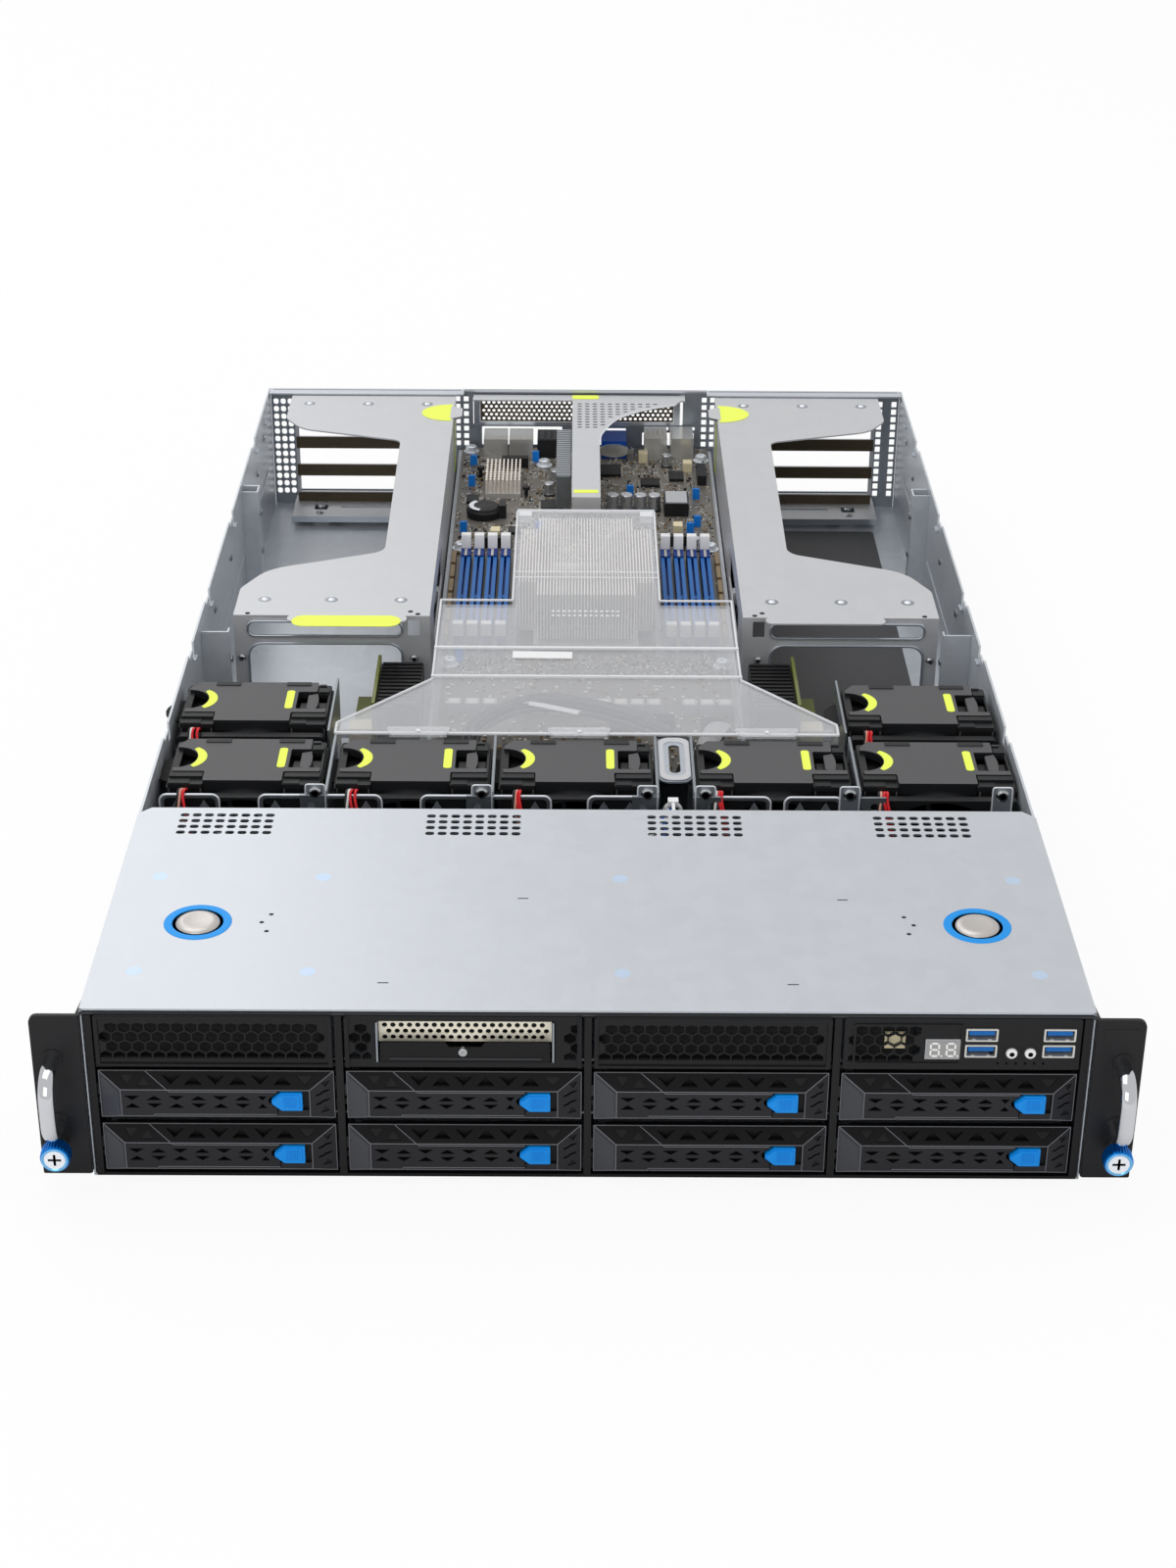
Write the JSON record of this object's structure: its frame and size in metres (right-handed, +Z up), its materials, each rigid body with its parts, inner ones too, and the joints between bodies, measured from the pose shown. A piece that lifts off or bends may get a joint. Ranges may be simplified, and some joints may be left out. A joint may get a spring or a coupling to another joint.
{
  "type": "rack server",
  "caption": "Low rack-mount server chassis, rear lid off: hot-swap drive trays in front, a row of fans, clear air duct, mainboard and two card cages behind.",
  "frame": {"origin": "middle of the underside of the whole server, ears and supply handles included", "axes": "+X to the right seen from the front, +Y from the front to the rear, +Z up"},
  "size_m": [0.4826, 0.8413, 0.0894],
  "materials": {
    "galvanised_steel": "zinc-coated sheet, satin",
    "black_steel": "fine black powder coat",
    "chrome_bar": "polished chrome",
    "circuit_board": "dark solder mask",
    "fin_aluminium": "bare fins",
    "clear_plastic": "clear, slightly milky",
    "blue_anodised": "blue anodised",
    "nickel": "satin nickel",
    "white_plastic": "white gloss",
    "black_plastic": "fine-textured black moulding",
    "blue_plastic": "bright blue moulding"
  },
  "bodies": {
    "chassis": {"chassis_tray": "galvanised_steel", "rear_wall": "galvanised_steel", "front_cover": "galvanised_steel", "drive_cage": "galvanised_steel", "front_panel_row": "black_steel", "rack_ears": "black_steel", "ear_handles": "chrome_bar", "fan_wall": "galvanised_steel", "mainboard": "circuit_board", "cpu_heat_sink": "fin_aluminium"},
    "left_riser_cage": {"left_riser_cage": "galvanised_steel"},
    "right_riser_cage": {"right_riser_cage": "galvanised_steel"},
    "centre_riser": {"centre_riser": "galvanised_steel"},
    "left_power_supply": {"left_power_supply": "galvanised_steel"},
    "right_power_supply": {"right_power_supply": "galvanised_steel"},
    "air_duct": {"air_duct": "clear_plastic"},
    "left_rack_screw": {"left_rack_screw": "blue_anodised"},
    "right_rack_screw": {"right_rack_screw": "blue_anodised"},
    "left_cover_button": {"left_cover_button": "nickel"},
    "right_cover_button": {"right_cover_button": "nickel"},
    "power_button": {"power_button": "white_plastic"},
    "reset_button": {"reset_button": "white_plastic"},
    "drive_tray_1": {"drive_tray_1": "black_plastic"},
    "tray_lever_1": {"tray_lever_1": "black_plastic"},
    "tray_latch_1": {"tray_latch_1": "blue_plastic"},
    "drive_tray_2": {"drive_tray_2": "black_plastic"},
    "tray_lever_2": {"tray_lever_2": "black_plastic"},
    "tray_latch_2": {"tray_latch_2": "blue_plastic"},
    "drive_tray_3": {"drive_tray_3": "black_plastic"},
    "tray_lever_3": {"tray_lever_3": "black_plastic"},
    "tray_latch_3": {"tray_latch_3": "blue_plastic"},
    "drive_tray_4": {"drive_tray_4": "black_plastic"},
    "tray_lever_4": {"tray_lever_4": "black_plastic"},
    "tray_latch_4": {"tray_latch_4": "blue_plastic"},
    "drive_tray_5": {"drive_tray_5": "black_plastic"},
    "tray_lever_5": {"tray_lever_5": "black_plastic"},
    "tray_latch_5": {"tray_latch_5": "blue_plastic"},
    "drive_tray_6": {"drive_tray_6": "black_plastic"},
    "tray_lever_6": {"tray_lever_6": "black_plastic"},
    "tray_latch_6": {"tray_latch_6": "blue_plastic"},
    "drive_tray_7": {"drive_tray_7": "black_plastic"},
    "tray_lever_7": {"tray_lever_7": "black_plastic"},
    "tray_latch_7": {"tray_latch_7": "blue_plastic"},
    "drive_tray_8": {"drive_tray_8": "black_plastic"},
    "tray_lever_8": {"tray_lever_8": "black_plastic"},
    "tray_latch_8": {"tray_latch_8": "blue_plastic"},
    "fan_module_1": {"fan_module_1": "black_plastic"},
    "fan_rotor_1": {"fan_rotor_1": "black_plastic"},
    "fan_module_2": {"fan_module_2": "black_plastic"},
    "fan_rotor_2": {"fan_rotor_2": "black_plastic"},
    "fan_module_3": {"fan_module_3": "black_plastic"},
    "fan_rotor_3": {"fan_rotor_3": "black_plastic"},
    "fan_module_4": {"fan_module_4": "black_plastic"},
    "fan_rotor_4": {"fan_rotor_4": "black_plastic"},
    "fan_module_5": {"fan_module_5": "black_plastic"},
    "fan_rotor_5": {"fan_rotor_5": "black_plastic"},
    "fan_module_6": {"fan_module_6": "black_plastic"},
    "fan_rotor_6": {"fan_rotor_6": "black_plastic"},
    "fan_module_7": {"fan_module_7": "black_plastic"},
    "fan_rotor_7": {"fan_rotor_7": "black_plastic"}
  },
  "joints": [
    {"name": "drive_tray_1_slide", "type": "slide", "parent": "chassis", "child": "drive_tray_1", "axis": [0, -1, 0], "range_m": [0, 0.165]},
    {"name": "tray_lever_1_swing", "type": "hinge", "parent": "drive_tray_1", "child": "tray_lever_1", "pos_m": [-0.20975, -0.39265, 0.044], "axis": [0, 0, -1], "range_deg": [0, 60]},
    {"name": "tray_latch_1_slide", "type": "slide", "parent": "drive_tray_1", "child": "tray_latch_1", "axis": [1, 0, 0], "range_m": [0, 0.0025], "stiffness_N_per_m": 300},
    {"name": "drive_tray_2_slide", "type": "slide", "parent": "chassis", "child": "drive_tray_2", "axis": [0, -1, 0], "range_m": [0, 0.165]},
    {"name": "tray_lever_2_swing", "type": "hinge", "parent": "drive_tray_2", "child": "tray_lever_2", "pos_m": [-0.10145, -0.39265, 0.044], "axis": [0, 0, -1], "range_deg": [0, 60]},
    {"name": "tray_latch_2_slide", "type": "slide", "parent": "drive_tray_2", "child": "tray_latch_2", "axis": [1, 0, 0], "range_m": [0, 0.0025], "stiffness_N_per_m": 300},
    {"name": "drive_tray_3_slide", "type": "slide", "parent": "chassis", "child": "drive_tray_3", "axis": [0, -1, 0], "range_m": [0, 0.165]},
    {"name": "tray_lever_3_swing", "type": "hinge", "parent": "drive_tray_3", "child": "tray_lever_3", "pos_m": [0.00685, -0.39265, 0.044], "axis": [0, 0, -1], "range_deg": [0, 60]},
    {"name": "tray_latch_3_slide", "type": "slide", "parent": "drive_tray_3", "child": "tray_latch_3", "axis": [1, 0, 0], "range_m": [0, 0.0025], "stiffness_N_per_m": 300},
    {"name": "drive_tray_4_slide", "type": "slide", "parent": "chassis", "child": "drive_tray_4", "axis": [0, -1, 0], "range_m": [0, 0.165]},
    {"name": "tray_lever_4_swing", "type": "hinge", "parent": "drive_tray_4", "child": "tray_lever_4", "pos_m": [0.11515, -0.39265, 0.044], "axis": [0, 0, -1], "range_deg": [0, 60]},
    {"name": "tray_latch_4_slide", "type": "slide", "parent": "drive_tray_4", "child": "tray_latch_4", "axis": [1, 0, 0], "range_m": [0, 0.0025], "stiffness_N_per_m": 300},
    {"name": "drive_tray_5_slide", "type": "slide", "parent": "chassis", "child": "drive_tray_5", "axis": [0, -1, 0], "range_m": [0, 0.165]},
    {"name": "tray_lever_5_swing", "type": "hinge", "parent": "drive_tray_5", "child": "tray_lever_5", "pos_m": [-0.20975, -0.39265, 0.016], "axis": [0, 0, -1], "range_deg": [0, 60]},
    {"name": "tray_latch_5_slide", "type": "slide", "parent": "drive_tray_5", "child": "tray_latch_5", "axis": [1, 0, 0], "range_m": [0, 0.0025], "stiffness_N_per_m": 300},
    {"name": "drive_tray_6_slide", "type": "slide", "parent": "chassis", "child": "drive_tray_6", "axis": [0, -1, 0], "range_m": [0, 0.165]},
    {"name": "tray_lever_6_swing", "type": "hinge", "parent": "drive_tray_6", "child": "tray_lever_6", "pos_m": [-0.10145, -0.39265, 0.016], "axis": [0, 0, -1], "range_deg": [0, 60]},
    {"name": "tray_latch_6_slide", "type": "slide", "parent": "drive_tray_6", "child": "tray_latch_6", "axis": [1, 0, 0], "range_m": [0, 0.0025], "stiffness_N_per_m": 300},
    {"name": "drive_tray_7_slide", "type": "slide", "parent": "chassis", "child": "drive_tray_7", "axis": [0, -1, 0], "range_m": [0, 0.165]},
    {"name": "tray_lever_7_swing", "type": "hinge", "parent": "drive_tray_7", "child": "tray_lever_7", "pos_m": [0.00685, -0.39265, 0.016], "axis": [0, 0, -1], "range_deg": [0, 60]},
    {"name": "tray_latch_7_slide", "type": "slide", "parent": "drive_tray_7", "child": "tray_latch_7", "axis": [1, 0, 0], "range_m": [0, 0.0025], "stiffness_N_per_m": 300},
    {"name": "drive_tray_8_slide", "type": "slide", "parent": "chassis", "child": "drive_tray_8", "axis": [0, -1, 0], "range_m": [0, 0.165]},
    {"name": "tray_lever_8_swing", "type": "hinge", "parent": "drive_tray_8", "child": "tray_lever_8", "pos_m": [0.11515, -0.39265, 0.016], "axis": [0, 0, -1], "range_deg": [0, 60]},
    {"name": "tray_latch_8_slide", "type": "slide", "parent": "drive_tray_8", "child": "tray_latch_8", "axis": [1, 0, 0], "range_m": [0, 0.0025], "stiffness_N_per_m": 300},
    {"name": "fan_module_1_lift", "type": "slide", "parent": "chassis", "child": "fan_module_1", "axis": [0, 0, 1], "range_m": [0, 0.09]},
    {"name": "fan_rotor_1_spin", "type": "hinge", "parent": "fan_module_1", "child": "fan_rotor_1", "pos_m": [-0.1736, -0.15725, 0.041], "axis": [0, 1, 0], "continuous": true},
    {"name": "fan_module_2_lift", "type": "slide", "parent": "chassis", "child": "fan_module_2", "axis": [0, 0, 1], "range_m": [0, 0.09]},
    {"name": "fan_rotor_2_spin", "type": "hinge", "parent": "fan_module_2", "child": "fan_rotor_2", "pos_m": [-0.0887, -0.15725, 0.041], "axis": [0, 1, 0], "continuous": true},
    {"name": "fan_module_3_lift", "type": "slide", "parent": "chassis", "child": "fan_module_3", "axis": [0, 0, 1], "range_m": [0, 0.09]},
    {"name": "fan_rotor_3_spin", "type": "hinge", "parent": "fan_module_3", "child": "fan_rotor_3", "pos_m": [-0.0055, -0.15725, 0.041], "axis": [0, 1, 0], "continuous": true},
    {"name": "fan_module_4_lift", "type": "slide", "parent": "chassis", "child": "fan_module_4", "axis": [0, 0, 1], "range_m": [0, 0.09]},
    {"name": "fan_rotor_4_spin", "type": "hinge", "parent": "fan_module_4", "child": "fan_rotor_4", "pos_m": [0.095, -0.15725, 0.041], "axis": [0, 1, 0], "continuous": true},
    {"name": "fan_module_5_lift", "type": "slide", "parent": "chassis", "child": "fan_module_5", "axis": [0, 0, 1], "range_m": [0, 0.09]},
    {"name": "fan_rotor_5_spin", "type": "hinge", "parent": "fan_module_5", "child": "fan_rotor_5", "pos_m": [0.1783, -0.15725, 0.041], "axis": [0, 1, 0], "continuous": true},
    {"name": "fan_module_6_lift", "type": "slide", "parent": "chassis", "child": "fan_module_6", "axis": [0, 0, 1], "range_m": [0, 0.09]},
    {"name": "fan_rotor_6_spin", "type": "hinge", "parent": "fan_module_6", "child": "fan_rotor_6", "pos_m": [-0.1763, -0.08925, 0.041], "axis": [0, 1, 0], "continuous": true},
    {"name": "fan_module_7_lift", "type": "slide", "parent": "chassis", "child": "fan_module_7", "axis": [0, 0, 1], "range_m": [0, 0.09]},
    {"name": "fan_rotor_7_spin", "type": "hinge", "parent": "fan_module_7", "child": "fan_rotor_7", "pos_m": [0.1767, -0.08925, 0.041], "axis": [0, 1, 0], "continuous": true},
    {"name": "left_rack_screw_turn", "type": "hinge", "parent": "chassis", "child": "left_rack_screw", "pos_m": [-0.23255, -0.40525, 0.0213], "axis": [0, 1, 0], "continuous": true},
    {"name": "left_cover_button_press", "type": "slide", "parent": "chassis", "child": "left_cover_button", "axis": [0, 0, -1], "range_m": [0, 0.0025], "stiffness_N_per_m": 600},
    {"name": "right_rack_screw_turn", "type": "hinge", "parent": "chassis", "child": "right_rack_screw", "pos_m": [0.23255, -0.40525, 0.0213], "axis": [0, 1, 0], "continuous": true},
    {"name": "right_cover_button_press", "type": "slide", "parent": "chassis", "child": "right_cover_button", "axis": [0, 0, -1], "range_m": [0, 0.0025], "stiffness_N_per_m": 600},
    {"name": "power_button_press", "type": "slide", "parent": "chassis", "child": "power_button", "axis": [0, 1, 0], "range_m": [0, 0.0008], "stiffness_N_per_m": 400},
    {"name": "reset_button_press", "type": "slide", "parent": "chassis", "child": "reset_button", "axis": [0, 1, 0], "range_m": [0, 0.0008], "stiffness_N_per_m": 400},
    {"name": "left_riser_lift", "type": "slide", "parent": "chassis", "child": "left_riser_cage", "axis": [0, 0, 1], "range_m": [0, 0.1]},
    {"name": "left_power_supply_slide", "type": "slide", "parent": "chassis", "child": "left_power_supply", "axis": [0, 1, 0], "range_m": [0, 0.17]},
    {"name": "right_riser_lift", "type": "slide", "parent": "chassis", "child": "right_riser_cage", "axis": [0, 0, 1], "range_m": [0, 0.1]},
    {"name": "right_power_supply_slide", "type": "slide", "parent": "chassis", "child": "right_power_supply", "axis": [0, 1, 0], "range_m": [0, 0.17]},
    {"name": "centre_riser_lift", "type": "slide", "parent": "chassis", "child": "centre_riser", "axis": [0, 0, 1], "range_m": [0, 0.1]},
    {"name": "air_duct_lift", "type": "slide", "parent": "chassis", "child": "air_duct", "axis": [0, 0, 1], "range_m": [0, 0.1]}
  ]
}
